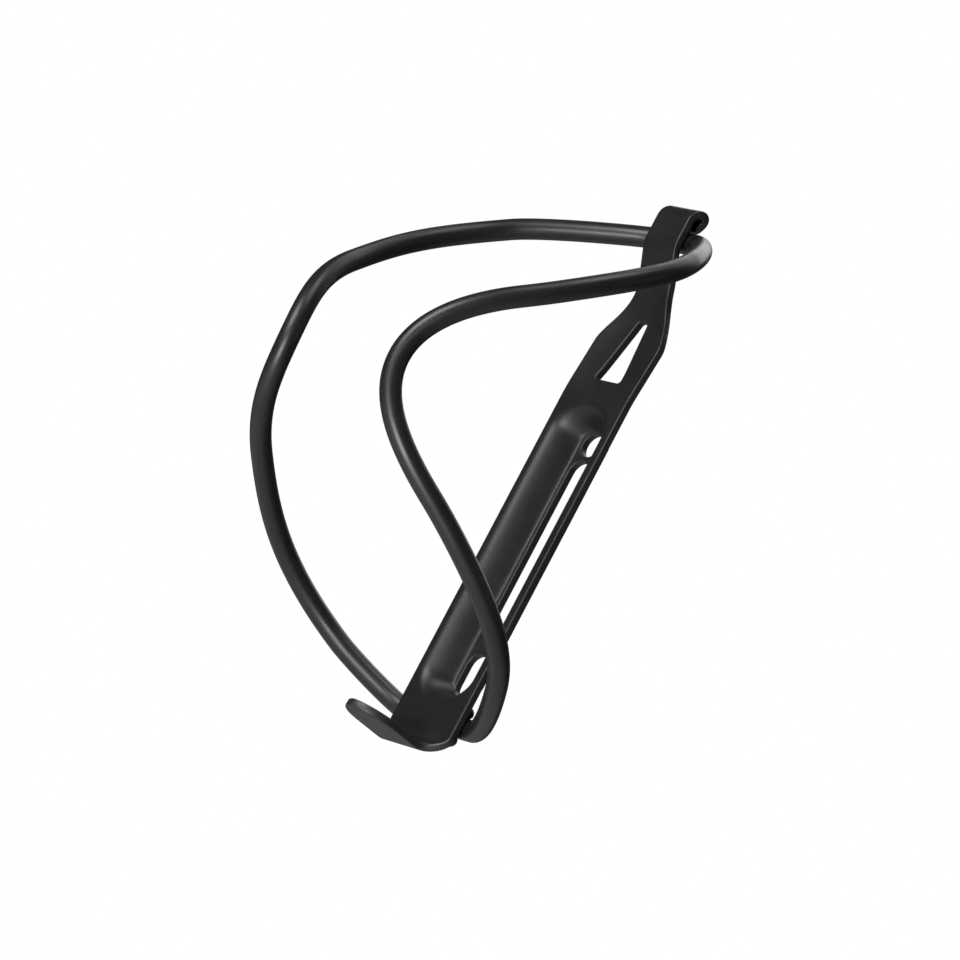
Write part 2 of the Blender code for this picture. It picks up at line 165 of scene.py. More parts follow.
class PlateSettings(PropertyGroup):
    sheet: size("Sheet", "Thickness of the sheet", 2.0 * MM)
    edge: size("Edge rounding", "Radius on every cut edge of the sheet", 0.4 * MM)
    half_width: size("Half width", "Half the plate's width at the channel", PLATE_BOX[1].x)
    channel_depth: size("Channel depth", "How far the channel floor lies behind the rim", 6.1 * MM)
    floor_half: size("Floor half width", "Half the flat of the channel floor", 4.4 * MM)
    rim_half: size("Rim half width", "Where the channel wall reaches the rim", 11.0 * MM)
    wall_ease: share("Wall ease", "Under 1, the wall is tight at the floor and gentle at the rim",
                     0.65)
    end_steepness: share("End steepness", "How much steeper the channel's ends are", 1.25, 3.0)
    wall_spread: size("Wall spread", "How much wider the channel's rim is on the back", 0.6 * MM)
    bolt_pitch: size("Bolt pitch", "Between the round hole and the lower slot", 64.0 * MM)
    bolt_hole: size("Bolt hole", "Diameter of the hole and width of the slots", 6.3 * MM)
    lower_slot: size("Lower slot", "Height of the lower slot's middle", -9.4 * MM)
    lower_travel: size("Lower slot travel", "Straight part of the lower slot", 5.4 * MM)
    long_top: size("Long slot top", "Height of its upper end", 50.1 * MM)
    long_bottom: size("Long slot bottom", "Height of its lower end", 4.6 * MM)
    window_base: size("Window base", "Height of the window's lower edge", 69.9 * MM)
    window_apex: size("Window top", "Height of the window's upper edge", 87.2 * MM)
    window_base_half: size("Window base half width", "Half its lower edge", 4.9 * MM)
    window_apex_half: size("Window top half width", "Half its upper edge", 1.6 * MM)
    window_corner: size("Window corner", "Radius of the window's corners", 0.8 * MM)
    foot_reach: size("Foot reach", "From the rim plane to the foot's tip", 21.6 * MM)
    foot_half: size("Foot half width", "Half the foot's width", 7.7 * MM)
    foot_top: size("Foot height", "Height of the face that the bottle stands on", -31.3 * MM)
    foot_rise: size("Foot rise", "How much higher the foot's tip is than its bend", 1.4 * MM)
    foot_bend: size("Foot bend", "Inside radius of the bend into the foot", 4.0 * MM)
    foot_nose: size("Foot nose", "Length of the foot's round tip", 10.0 * MM)
    lean_start: size("Lean start", "Height at which the plate starts to lean back", 66.0 * MM)
    shoulder_bottom: size("Shoulder bottom", "Where the plate starts to narrow", 79.8 * MM)
    shoulder_top: size("Shoulder top", "Where the tongue has its own width", 95.5 * MM)
    shoulder_ease: share("Shoulder ease", "Under 1, the shoulder narrows fast at first", 0.85)
    tongue_half: size("Tongue half width", "Half the tongue's width", 6.2 * MM)
    set_back: size("Set back", "How far the bend under the tongue lies behind the rim", 2.1 * MM)
    set_back_height: size("Set back height", "Height of that bend", 92.0 * MM)
    set_back_bend: size("Set back bend", "Radius of that bend", 24.0 * MM)
    tongue_front: size("Tongue front", "Y of the tongue's foremost face", -12.6 * MM)
    tongue_bend_height: size("Tongue bend height", "Where the tongue turns upright", 105.5 * MM)
    tongue_bend: size("Tongue bend", "Radius of that turn", 8.0 * MM)
    curl_height: size("Curl height", "Where the tongue starts to curl over", 112.8 * MM)
    curl_front: size("Curl front", "Outside radius of the curl's first quarter", 4.3 * MM)
    curl_back: size("Curl back", "Outside radius of its second quarter", 2.7 * MM)
    lip_drop: size("Lip drop", "Straight end of the curl behind the rod", 2.4 * MM)
    lip_half: size("Lip half width", "Half the width of the curl's end", 2.5 * MM)
    lip_taper: size("Lip taper", "Length over which the curl's end narrows", 10.0 * MM)
    hollow: size("Hollow", "How far the plate above the channel is dished", 1.0 * MM)
    grid: size("Mesh size", "Spacing of the points over the sheet", 0.55 * MM)


class RodSettings(PropertyGroup):
    radius: size("Rod radius", "Half the rod's diameter", 2.65 * MM)
    chamfer: size("End chamfer", "Chamfer on the rod's two ends", 0.5 * MM)
    hoop_radius: size("Hoop radius", "Rod centre line about the bottle's axis", 40.0 * MM)
    out_of_round: size("Out of round", "How far the roll bulges and dips", 1.25 * MM)
    bulge_at: turn("Bulge at", "Where it bulges, from straight back", 70.5)
    bottle_axis: size("Bottle axis", "Y of the bottle's axis at mid height", -46.2 * MM)
    bottle_lean: turn("Bottle lean", "How far the bottle's top leans from the plate", 3.6)
    middle: size("Mid height", "Height halfway between the two hoops", 40.2 * MM)
    hoop_spread: size("Hoop spread", "Between the two hoops' centres", 78.7 * MM)
    hoop_tilt: turn("Hoop tilt", "Slope of the two hoops", 35.0)
    front_leaves: turn("Front bend", "Where the front bend starts, from straight back", 118.5)
    front_handle: size("Front handle", "Reach of the front bend's curve", 32.2 * MM)
    top_leaves: turn("Top leaves", "Where the rod leaves the upper hoop", 59.0)
    top_hoop_ease: size("Top hoop ease", "Reach of the curve out of the hoop", 9.0 * MM)
    top_tuck_ease: size("Top tuck ease", "Reach of the curve into the straight run", 4.0 * MM)
    tuck_past: size("Tuck past", "How far the top run passes the tongue's edges", 0.8 * MM)
    top_height: size("Rod top", "Height of the run behind the tongue", 108.5 * MM)
    lower_leaves: turn("Lower leaves", "Where the rod leaves the lower hoop", 52.0)
    lower_hoop_ease: size("Lower hoop ease", "Reach of the curve out of the hoop", 5.0 * MM)
    lower_tuck_ease: size("Lower tuck ease", "Reach of the curve into the run", 4.6 * MM)
    tuck_short: size("Tuck short", "How far the lower run stops short of the edges", 0.1 * MM)
    lower_height: size("Lower height", "Height of the run behind the foot", -22.9 * MM)
    end_gap: size("End gap", "Half the gap between the rod's two ends", 3.0 * MM)
    spacing: size("Spacing", "Distance between rings of the rod's mesh", 0.4 * MM)
    sides: IntProperty(name="Sides", description="Points round the rod", default=48, min=8, max=64)


class WeldSettings(PropertyGroup):
    lower_radius: size("Lower bead", "Radius of the bead under the rod", 1.75 * MM)
    upper_radius: size("Upper bead", "Radius of the bead over the rod", 1.8 * MM)
    lower_half: size("Lower half length", "Half the length of the lower beads", 10.2 * MM)
    top_radius: size("Top bead", "Radius of the bead inside the curl", 1.5 * MM)
    top_half: size("Top half length", "Half the length of that bead", 3.6 * MM)
    ripple_pitch: size("Ripple pitch", "Distance between the steps of a bead", 1.15 * MM)
    ripple: share("Ripple", "Height of a step, as a share of the radius", 0.11)
    wander: size("Wander", "How far a bead strays from its line", 0.16 * MM)
    seed: IntProperty(name="Seed", description="Chooses the beads' unevenness", default=4)


class FinishSettings(PropertyGroup):
    black: colour("Black", "Colour of the anodised metal", (0.0095, 0.0095, 0.0110))
    # Lighter colour on the cut edges: partly thin worn film, partly a painted highlight for the
    # light that the edges catch.
    edge_wear_and_highlight: colour("Edge", "Colour where the film is thin along cut edges", (0.022, 0.022, 0.024))
    plate_rough: share("Plate roughness", "Roughness of the plate", 0.40)
    rod_rough: share("Rod roughness", "Roughness of the rod", 0.36)
    weld_rough: share("Weld roughness", "Roughness of the welds", 0.50)
    metal: share("Metal", "How metallic the film is", 0.45)
    grain: size("Grain", "Size of the blasted texture", 0.16 * MM)


class StageSettings(PropertyGroup):
    floor_drop: size("Floor", "Height of the floor", -0.300)
    floor_half: size("Floor size", "Half the floor's side", 30.0)
    pale: colour("Floor colour", "Colour of the floor", (0.86, 0.86, 0.86))
    azimuth: turn("Azimuth", "Camera's turn round the cage", 53.15)
    elevation: turn("Elevation", "Camera's height angle", -10.67)
    roll: turn("Roll", "Camera's roll", 27.92)
    distance: size("Distance", "From the camera to the point it looks at", 1.49046)
    aim: FloatVectorProperty(name="Aim", description="Point that the camera looks at",
                             default=(0.01939, -0.04147, 0.02668), subtype="TRANSLATION", size=3)
    lens: FloatProperty(name="Lens", description="Focal length in millimetres", default=237.0)


SETTINGS = {"cage_plate": PlateSettings, "cage_rod": RodSettings, "cage_weld": WeldSettings,
            "cage_finish": FinishSettings, "cage_stage": StageSettings}


# ---------------------------------------------------------------- sheet

def smooth(low, high, value):
    along = np.clip((value - low) / (high - low), 0.0, 1.0)
    return along * along * (3 - 2 * along)


def rounded(corners, radii, steps):
    """A path through straight runs, with each inner corner replaced by an arc of its radius."""
    path = [corners[0]]
    for before, corner, after, radius in zip(corners, corners[1:], corners[2:], radii):
        back = (before - corner).normalized()
        ahead = (after - corner).normalized()
        half = back.angle(ahead) / 2
        reach = radius * cos(half) / sin(half)
        centre = corner + (back + ahead).normalized() * (radius / sin(half))
        one = corner + back * reach - centre
        two = corner + ahead * reach - centre
        arc = one.angle(two)
        for i in range(steps + 1):
            part = i / steps
            path.append(centre + (one * sin(arc * (1 - part)) + two * sin(arc * part)) / sin(arc))
    path.append(corners[-1])
    return path


class PressedSheet:
    """The plate's form: turns places across, along and through the sheet into points."""

    def __init__(self, plate):
        self.plate = plate
        self.rim = -plate.sheet - plate.channel_depth
        self.upper_hole = plate.lower_slot + plate.bolt_pitch
        self.side = np.array([(p.y, p.z) for p in self.profile()])
        steps = np.linalg.norm(np.diff(self.side, axis=0), axis=1)
        self.run = np.concatenate([[0.0], np.cumsum(steps)])
        self.length = self.run[-1]

    def profile(self):
        """The inner face seen from the side, from the foot's tip round to the lip."""
        p, rim = self.plate, self.rim
        corners = [Vector((0.0, y, z)) for y, z in (
            (rim - p.foot_reach, p.foot_top + p.foot_rise), (rim, p.foot_top), (rim, p.lean_start),
            (rim + p.set_back, p.set_back_height), (p.tongue_front, p.tongue_bend_height),
            (p.tongue_front, p.curl_height))]
        bends = [p.foot_bend, LEAN_BEND, p.set_back_bend, p.tongue_bend]
        path = rounded(corners, bends, ARC_STEPS)
        for radius, first in ((p.curl_front, 0.0), (p.curl_back, pi / 2)):
            middle = Vector((0.0, p.tongue_front + p.curl_front,
                             p.curl_height + p.curl_front - radius))
            for i in range(1, ARC_STEPS + 1):
                angle = first + pi / 2 * i / ARC_STEPS
                path.append(middle + radius * Vector((0.0, -cos(angle), sin(angle))))
        return path + [path[-1] - Vector((0.0, 0.0, p.lip_drop))]

    def half_width(self, s):
        """Half the width at these distances from the foot's tip."""
        p = self.plate
        nose = np.clip(s / p.foot_nose, 0.0, 1.0)
        foot = p.foot_half * (1 - (1 - nose) ** NOSE_SWEEP) ** NOSE_FULLNESS
        start = p.foot_reach - p.foot_bend
        widens = smooth(start, start + FOOT_FLARE * p.foot_bend, s)
        foot = foot + (p.half_width - p.foot_half) * widens
        height = np.interp(s, self.run, self.side[:, 1])
        narrow = smooth(p.shoulder_bottom, p.shoulder_top, height) ** p.shoulder_ease
        narrow = np.where(s > p.foot_reach + p.foot_bend, narrow, 0.0)
        width = np.minimum(foot, p.half_width) - (p.half_width - p.tongue_half) * narrow
        left = np.clip((self.length - s) / p.lip_taper, 0.0, 1.0)
        end = p.lip_half + (width - p.lip_half) * np.sqrt(1 - (1 - left) ** 2)
        return np.where(self.length - s < p.lip_taper, end, width)

    def at_height(self, z):
        """Distance along the upright part at which it has this height."""
        bend = self.plate.foot_reach + self.plate.foot_bend
        up = (self.run > bend - UPRIGHT_MARGIN) & (self.side[:, 1] < self.plate.curl_height)
        return np.interp(z, self.side[up, 1], self.run[up])

    def pushed(self, x, s, height, spread):
        """How far the press has pushed a face of the sheet back."""
        p = self.plate
        low = p.lower_slot - CHANNEL_PAST_SLOT
        off_end = np.maximum(np.maximum(low - height, height - self.upper_hole), 0.0)
        wall = p.rim_half + spread - p.floor_half
        along = (np.hypot(x, p.end_steepness * off_end) - p.floor_half) / wall
        channel = p.channel_depth * (1 - smooth(0.0, 1.0, np.maximum(along, 0.0) ** p.wall_ease))
        fade = smooth(*HOLLOW_STARTS, height) * (1 - smooth(*HOLLOW_ENDS, height))
        across = np.clip(np.abs(x) / np.maximum(self.half_width(s), 1e-6), 0.0, 1.0)
        return channel + p.hollow * fade * (1 - across * across)

    def place(self, x, s, depth):
        """Points in space. Depth runs from 0 on the bottle's side to the sheet's thickness."""
        probe = 0.25 * MM
        y, z = (np.interp(s, self.run, self.side[:, i]) for i in (0, 1))
        ahead, behind = np.minimum(s + probe, self.length), np.maximum(s - probe, 0.0)
        dy, dz = (np.interp(ahead, self.run, self.side[:, i])
                  - np.interp(behind, self.run, self.side[:, i]) for i in (0, 1))
        long = np.hypot(dy, dz)
        spread = self.plate.wall_spread * depth / self.plate.sheet
        back = self.pushed(x, s, z, spread) + depth
        return np.column_stack([x, y + back * dz / long, z - back * dy / long])


def even_loop(points, spacing):
    """A closed loop of points at even distances along another."""
    closed = np.vstack([points, points[:1]])
    run = np.concatenate([[0.0], np.cumsum(np.linalg.norm(np.diff(closed, axis=0), axis=1))])
    count = max(int(round(run[-1] / spacing)), 12)
    at = np.arange(count) * run[-1] / count
    return np.column_stack([np.interp(at, run, closed[:, 0]), np.interp(at, run, closed[:, 1])])


def outward(loop):
    """Unit vectors in the plane pointing out of an anticlockwise loop."""
    tangent = np.roll(loop, -1, axis=0) - np.roll(loop, 1, axis=0)
    tangent /= np.linalg.norm(tangent, axis=1)[:, None]
    return np.column_stack([tangent[:, 1], -tangent[:, 0]])


def anticlockwise(loop):
    x, y = loop[:, 0], loop[:, 1]
    area = np.sum(x * np.roll(y, -1) - np.roll(x, -1) * y)
    return loop if area > 0 else loop[::-1].copy()


def outer_outline(form):
    plate = form.plate
    quarter = 1 - np.cos(np.linspace(0.0, pi / 2, TIP_POINTS))
    s = np.unique(np.concatenate([
        quarter * plate.foot_nose,
        np.linspace(plate.foot_nose, form.length - plate.lip_taper, SIDE_POINTS),
        form.length - quarter * plate.lip_taper]))
    width = form.half_width(s)
    right = np.column_stack([width, s])
    left = np.column_stack([-width, s])[::-1]
    return anticlockwise(even_loop(np.vstack([right, left]), OUTLINE_SPACING))


def slot_outline(form, low, high):
    """A slot with round ends, or a round hole where low and high are a diameter apart."""
    radius = form.plate.bolt_hole / 2
    angles = np.linspace(0.0, pi, ARC_STEPS)
    ends = [(radius * np.cos(angles + turned), at + radius * np.sin(angles + turned))
            for at, turned in ((high - radius, 0.0), (low + radius, pi))]
    x = np.concatenate([e[0] for e in ends])
    z = np.concatenate([e[1] for e in ends])
    return anticlockwise(even_loop(np.column_stack([x, form.at_height(z)]), SLOT_SPACING))


def window_outline(form):
    p = form.plate
    corners = [Vector((x, z)) for x, z in (
        (p.window_base_half, p.window_base), (p.window_apex_half, p.window_apex),
        (-p.window_apex_half, p.window_apex), (-p.window_base_half, p.window_base))]
    start = (corners[0] + corners[3]) / 2
    path = rounded([v.to_3d() for v in [start, *corners, start]], [p.window_corner] * 4,
                   CORNER_STEPS)
    points = np.array([(v.x, v.y) for v in path[:-1]])
    points[:, 1] = form.at_height(points[:, 1])
    return anticlockwise(even_loop(points, WINDOW_SPACING))


def inside(points, loop):
    """Which of these points lie inside a closed loop."""
    found = np.zeros(len(points), bool)
    for (x1, y1), (x2, y2) in zip(loop, np.roll(loop, -1, axis=0)):
        crosses = (y1 > points[:, 1]) != (y2 > points[:, 1])
        if y1 != y2:
            found ^= crosses & (points[:, 0] < (x2 - x1) * (points[:, 1] - y1) / (y2 - y1) + x1)
    return found


def clear_of(points, loop, gap):
    """Which of these points are at least this far from a loop's points."""
    keep = np.ones(len(points), bool)
    batch = 200
    for i in range(0, len(loop), batch):
        off = points[:, None, :] - loop[None, i:i + batch, :]
        keep &= (off ** 2).sum(axis=2).min(axis=1) > gap * gap
    return keep


def flat_triangles(form, loops):
    """Points and triangles of the flat blank inside the first loop and outside the others."""
    step = form.plate.grid
    wide = form.plate.half_width
    rows = np.arange(step / 2, form.length, step * ROW_HEIGHT)
    across = np.arange(-wide, wide, step)
    grid = np.vstack([
        np.column_stack([across + (i % 2) * step / 2, np.full(len(across), s)])
        for i, s in enumerate(rows)])
    keep = inside(grid, loops[0])
    for hole in loops[1:]:
        keep &= ~inside(grid, hole)
    for loop in loops:
        keep[keep] = clear_of(grid[keep], loop, EDGE_MARGIN * step)
    grid = grid[keep]
    edges, start = [], 0
    for loop in loops:
        edges += [(start + i, start + (i + 1) % len(loop)) for i in range(len(loop))]
        start += len(loop)
    given = [Vector(p) for p in np.vstack([*loops, grid])]
    points, _, faces, origin = delaunay_2d_cdt(given, edges, [], 2, 1e-9)[:4]
    flat = np.array([tuple(p) for p in points])
    faces = np.array([f for f in faces if len(f) == 3])
    middle = flat[faces].mean(axis=1)
    solid = inside(middle, loops[0])
    for hole in loops[1:]:
        solid &= ~inside(middle, hole)
    index = {source: i for i, sources in enumerate(origin) for source in sources}
    return flat, faces[solid], index


def rim_steps(plate):
    """Pairs of inset and depth round the sheet's edge, from the front face to the back one."""
    edge, count = plate.edge, 4
    angles = [pi / 2 * i / count for i in range(1, count + 1)]
    front = [(edge * (1 - sin(a)), edge * (1 - cos(a))) for a in angles]
    back = [(inset, plate.sheet - depth) for inset, depth in reversed(front)]
    return front + [(0.0, plate.sheet / 2)] + back


def plate_mesh(plate):
    form = PressedSheet(plate)
    half = (plate.bolt_hole + plate.lower_travel) / 2
    hole = plate.bolt_hole / 2
    outlines = [
        outer_outline(form),
        slot_outline(form, form.upper_hole - hole, form.upper_hole + hole),
        slot_outline(form, plate.lower_slot - half, plate.lower_slot + half),
        slot_outline(form, plate.long_bottom, plate.long_top),
        window_outline(form),
    ]
    ways = [outward(loop) * (1 if i == 0 else -1) for i, loop in enumerate(outlines)]
    inner = [loop - way * plate.edge for loop, way in zip(outlines, ways)]
    flat, faces, index = flat_triangles(form, inner)
    front = form.place(flat[:, 0], flat[:, 1], np.zeros(len(flat)))
    back = form.place(flat[:, 0], flat[:, 1], np.full(len(flat), plate.sheet))
    points = [front, back]
    count = len(flat)
    polygons = faces.tolist() + (faces[:, ::-1] + count).tolist()
    edge_share = [np.zeros(2 * count)]
    total, start = 2 * count, 0
    for loop, way in zip(outlines, ways):
        ring = np.array([index[start + i] for i in range(len(loop))])
        start += len(loop)
        rings = [ring]
        for inset, depth in rim_steps(plate):
            at = loop - way * inset
            points.append(form.place(at[:, 0], at[:, 1], np.full(len(at), depth)))
            edge_share.append(np.ones(len(at)))
            rings.append(np.arange(total, total + len(at)))
            total += len(at)
        rings.append(ring + count)
        for one, two in zip(rings, rings[1:]):
            polygons += np.column_stack([one, np.roll(one, -1), np.roll(two, -1), two]).tolist()
    mesh = bpy.data.meshes.new("pressed_plate")
    mesh.from_pydata(np.vstack(points).tolist(), [], polygons)
    # Marks the cut edges, which the plate's material paints lighter: partly worn film, partly
    # painted highlight.
    mark = mesh.attributes.new("cut_edge", "FLOAT", "POINT")
    mark.data.foreach_set("value", np.concatenate(edge_share).astype(np.float32))
    return closed_outwards(mesh)


def closed_outwards(mesh):
    bm = bmesh.new()
    bm.from_mesh(mesh)
    bmesh.ops.remove_doubles(bm, verts=bm.verts, dist=MERGE_WITHIN)
    loose = [v for v in bm.verts if not v.link_faces]
    bmesh.ops.delete(bm, geom=loose, context="VERTS")
    bmesh.ops.recalc_face_normals(bm, faces=bm.faces)
    bm.to_mesh(mesh)
    bm.free()
    mesh.shade_smooth()
    return mesh


# ---------------------------------------------------------------- rod

class BentRod:
    """The rod's centre line."""

    def __init__(self, rod, plate):
        self.rod = rod
        rim = -plate.sheet - plate.channel_depth
        off = plate.sheet + ROD_CLEARANCE + rod.radius
        self.lower_back = rim + off
        self.top_back = plate.tongue_front + off
        self.top_half = plate.tongue_half + rod.tuck_past
        self.lower_half = plate.half_width - rod.tuck_short

    def on_bottle(self, angle, height):
        r = self.rod
        radius = r.hoop_radius + r.out_of_round * cos(4 * (angle - r.bulge_at))
        flat = Vector((radius * sin(angle), radius * cos(angle), height))
        return (Matrix.Rotation(r.bottle_lean, 3, "X") @ flat
                + Vector((0.0, r.bottle_axis, r.middle)))

    def hoop_height(self, angle):
        r = self.rod
        return r.hoop_spread / 2 + r.hoop_radius * tan(r.hoop_tilt) * cos(angle)

    def front_bend(self, steps):
        """Unrolled points (distance round, height) of the bend that joins the hoops in front."""
        r = self.rod
        slope = -tan(r.hoop_tilt) * sin(r.front_leaves)
        place = Vector((r.hoop_radius * r.front_leaves, self.hoop_height(r.front_leaves)))
        handle = place + Vector((1.0, slope)).normalized() * r.front_handle
        low_place, low_handle = Vector((place.x, -place.y)), Vector((handle.x, -handle.y))
        return interpolate_bezier(place, handle, low_handle, low_place, steps)

    def side(self, steps=40):
        """One side, from where it leaves the upper hoop to where it leaves the lower one."""
        r = self.rod
        front = r.front_leaves
        upper = [r.top_leaves + (front - r.top_leaves) * i / steps for i in range(steps)]
        lower = [front + (r.lower_leaves - front) * i / steps for i in range(1, steps + 1)]
        path = [self.on_bottle(angle, self.hoop_height(angle)) for angle in upper]
        path += [self.on_bottle(p.x / r.hoop_radius, p.y) for p in self.front_bend(FRONT_POINTS)]
        return path + [self.on_bottle(angle, -self.hoop_height(angle)) for angle in lower]

    def half(self):
        """Right half, from the middle of the run behind the tongue to the rod's lower end."""
        r, side = self.rod, self.side()
        top = self.tail(side[0], side[1], r.top_hoop_ease,
                        Vector((self.top_half, self.top_back, r.top_height)), r.top_tuck_ease)
        low = self.tail(side[-1], side[-2], r.lower_hoop_ease,
                        Vector((self.lower_half, self.lower_back, r.lower_height)),
                        r.lower_tuck_ease)
        return [Vector((0.0, self.top_back, r.top_height)), *reversed(top), *side[1:-1], *low,
                Vector((r.end_gap, self.lower_back, r.lower_height))]

    def tail(self, leaves, before, hoop_ease, tuck, tuck_ease):
        run = (leaves - before).normalized()
        return interpolate_bezier(leaves, leaves + run * hoop_ease,
                                  tuck + Vector((tuck_ease, 0.0, 0.0)), tuck, TAIL_POINTS)

    def whole(self):
        half = self.half()
        return [Vector((-p.x, p.y, p.z)) for p in reversed(half[1:])] + half


# ---------------------------------------------------------------- node trees

def node(tree, kind, **settings):
    made = tree.nodes.new(kind)
    for name, value in settings.items():
        setattr(made, name, value)
    return made


def wire(tree, source, target):
    tree.links.new(source, target)


def fill(tree, target, value):
    """Gives an input a number, or links it to a socket."""
    if isinstance(value, bpy.types.NodeSocket):
        wire(tree, value, target)
    elif value is not None:
        target.default_value = value


def maths(tree, operation, one, two=None):
    made = node(tree, "ShaderNodeMath", operation=operation)
    fill(tree, made.inputs[0], one)
    fill(tree, made.inputs[1], two)
    return made.outputs[0]


def eased(tree, value, low, high, start, end):
    """A value mapped smoothly from one range to another."""
    made = node(tree, "ShaderNodeMapRange", interpolation_type="SMOOTHSTEP")
    for name, given in (("Value", value), ("From Min", low), ("From Max", high),
                        ("To Min", start), ("To Max", end)):
        fill(tree, made.inputs[name], given)
    return made.outputs["Result"]


def geometry_tree(name, inputs):
    """A geometry node tree with named inputs. Returns the tree and its input sockets by name."""
    tree = bpy.data.node_groups.new(name, "GeometryNodeTree")
    tree.interface.new_socket("Geometry", in_out="INPUT", socket_type="NodeSocketGeometry")
    tree.interface.new_socket("Geometry", in_out="OUTPUT", socket_type="NodeSocketGeometry")
    for label, kind in inputs:
        tree.interface.new_socket(label, in_out="INPUT", socket_type="NodeSocket" + kind)
    return tree, node(tree, "NodeGroupInput").outputs


def finish_tree(tree, mesh, finish):
    """Ends a tree: smooth, real geometry in its material."""
    shaded = node(tree, "GeometryNodeSetShadeSmooth")
    real = node(tree, "GeometryNodeRealizeInstances")
    painted = node(tree, "GeometryNodeSetMaterial")
    wire(tree, mesh, shaded.inputs["Geometry"])
    wire(tree, shaded.outputs[0], real.inputs["Geometry"])
    wire(tree, real.outputs[0], painted.inputs["Geometry"])
    wire(tree, finish, painted.inputs["Material"])
    wire(tree, painted.outputs[0], node(tree, "NodeGroupOutput").inputs[0])


def path_length(tree):
    """The length along a spline and the distance to its nearer end."""
    along = node(tree, "GeometryNodeSplineParameter").outputs["Length"]
    whole = node(tree, "GeometryNodeSplineLength").outputs["Length"]
    return along, maths(tree, "MINIMUM", along, maths(tree, "SUBTRACT", whole, along))


def swept(tree, source, spacing, radius, sides, scale):
    """A round section swept along the edges of a mesh path, with closed ends."""
    curve = node(tree, "GeometryNodeMeshToCurve")
    even = node(tree, "GeometryNodeResampleCurve", mode="LENGTH")
    ring = node(tree, "GeometryNodeCurvePrimitiveCircle")
    sweep = node(tree, "GeometryNodeCurveToMesh")
    wire(tree, source, curve.inputs["Mesh"])
    wire(tree, curve.outputs[0], even.inputs["Curve"])
    wire(tree, spacing, even.inputs["Length"])
    wire(tree, radius, ring.inputs["Radius"])
    fill(tree, ring.inputs["Resolution"], sides)
    wire(tree, even.outputs[0], sweep.inputs["Curve"])
    wire(tree, ring.outputs[0], sweep.inputs["Profile Curve"])
    wire(tree, scale, sweep.inputs["Scale"])
    sweep.inputs["Fill Caps"].default_value = True
    return sweep.outputs[0]


def rod_tree():
    tree, given = geometry_tree("Bent rod", (
        ("Radius", "Float"), ("Spacing", "Float"), ("Sides", "Int"), ("Chamfer", "Float"),
        ("Finish", "Material")))
    _, near_end = path_length(tree)
    short = maths(tree, "SUBTRACT", 1.0, maths(tree, "DIVIDE", given["Chamfer"], given["Radius"]))
    scale = eased(tree, near_end, 0.0, given["Chamfer"], short, 1.0)
    mesh = swept(tree, given["Geometry"], given["Spacing"], given["Radius"], given["Sides"], scale)
    finish_tree(tree, mesh, given["Finish"])
    return tree


def bead_tree():
    tree, given = geometry_tree("Weld bead", (
        ("Radius", "Float"), ("Spacing", "Float"), ("Pitch", "Float"), ("Ripple", "Float"),
        ("Wander", "Float"), ("Seed", "Int"), ("Finish", "Material")))
    along, near_end = path_length(tree)
    steps = maths(tree, "FRACT", maths(tree, "DIVIDE", along, given["Pitch"]))
    dip = maths(tree, "MULTIPLY", maths(tree, "POWER", steps, STEP_SHARPNESS), given["Ripple"])
    end = maths(tree, "MULTIPLY", given["Radius"], BEAD_END)
    rise = maths(tree, "DIVIDE", near_end, end)
    rise = maths(tree, "MINIMUM", maths(tree, "MAXIMUM", rise, 0.0), 1.0)
    left = maths(tree, "SUBTRACT", 1.0, rise)
    hollowed = maths(tree, "SUBTRACT", BLUNT_END, maths(tree, "MULTIPLY", left, left))
    dome = maths(tree, "SQRT", hollowed)
    scale = maths(tree, "MULTIPLY", dome, maths(tree, "SUBTRACT", 1.0, dip))
    mesh = swept(tree, given["Geometry"], given["Spacing"], given["Radius"], BEAD_SIDES,
                 scale)
    uneven = node(tree, "ShaderNodeTexNoise", noise_dimensions="4D")
    uneven.inputs["Scale"].default_value = WANDER_SCALE
    wire(tree, given["Seed"], uneven.inputs["W"])
    centred = node(tree, "ShaderNodeVectorMath", operation="SUBTRACT")
    wire(tree, uneven.outputs["Color"], centred.inputs[0])
    centred.inputs[1].default_value = (0.5, 0.5, 0.5)
    scaled = node(tree, "ShaderNodeVectorMath", operation="SCALE")
    wire(tree, centred.outputs[0], scaled.inputs[0])
    wire(tree, maths(tree, "MULTIPLY", given["Wander"], WANDER_GAIN), scaled.inputs["Scale"])
    moved = node(tree, "GeometryNodeSetPosition")
    wire(tree, mesh, moved.inputs["Geometry"])
    wire(tree, scaled.outputs[0], moved.inputs["Offset"])
    finish_tree(tree, moved.outputs[0], given["Finish"])
    return tree


def path_object(name, points):
    mesh = bpy.data.meshes.new(name + "_path")
    mesh.from_pydata([tuple(p) for p in points], [(i, i + 1) for i in range(len(points) - 1)], [])
    item = bpy.data.objects.new(name, mesh)
    bpy.context.scene.collection.objects.link(item)
    return item


def grown(item, tree, values):
    """Runs a tree on an object and leaves the result as its plain mesh."""
    modifier = item.modifiers.new("grow", "NODES")
    modifier.node_group = tree
    for socket in tree.interface.items_tree:
        if socket.in_out == "INPUT" and socket.name in values:
            modifier[socket.identifier] = values[socket.name]
    graph = bpy.context.evaluated_depsgraph_get()
    made = bpy.data.meshes.new_from_object(item.evaluated_get(graph),
                                           preserve_all_data_layers=True, depsgraph=graph)
    item.modifiers.remove(modifier)
    item.data = closed_outwards(made)
    item.data.name = item.name
    return item


# ---------------------------------------------------------------- materials

def shader_start(name):
    made = bpy.data.materials.new(name)
    made.use_nodes = True
    tree = made.node_tree
    shader = tree.nodes["Principled BSDF"]
    place = node(tree, "ShaderNodeTexCoord").outputs["Object"]
    return made, tree, shader, place


def noise(tree, place, scale, detail=2.0, rough=0.5):
    made = node(tree, "ShaderNodeTexNoise")
    wire(tree, place, made.inputs["Vector"])
    made.inputs["Scale"].default_value = scale
    made.inputs["Detail"].default_value = detail
    made.inputs["Roughness"].default_value = rough
    return made.outputs["Fac"]


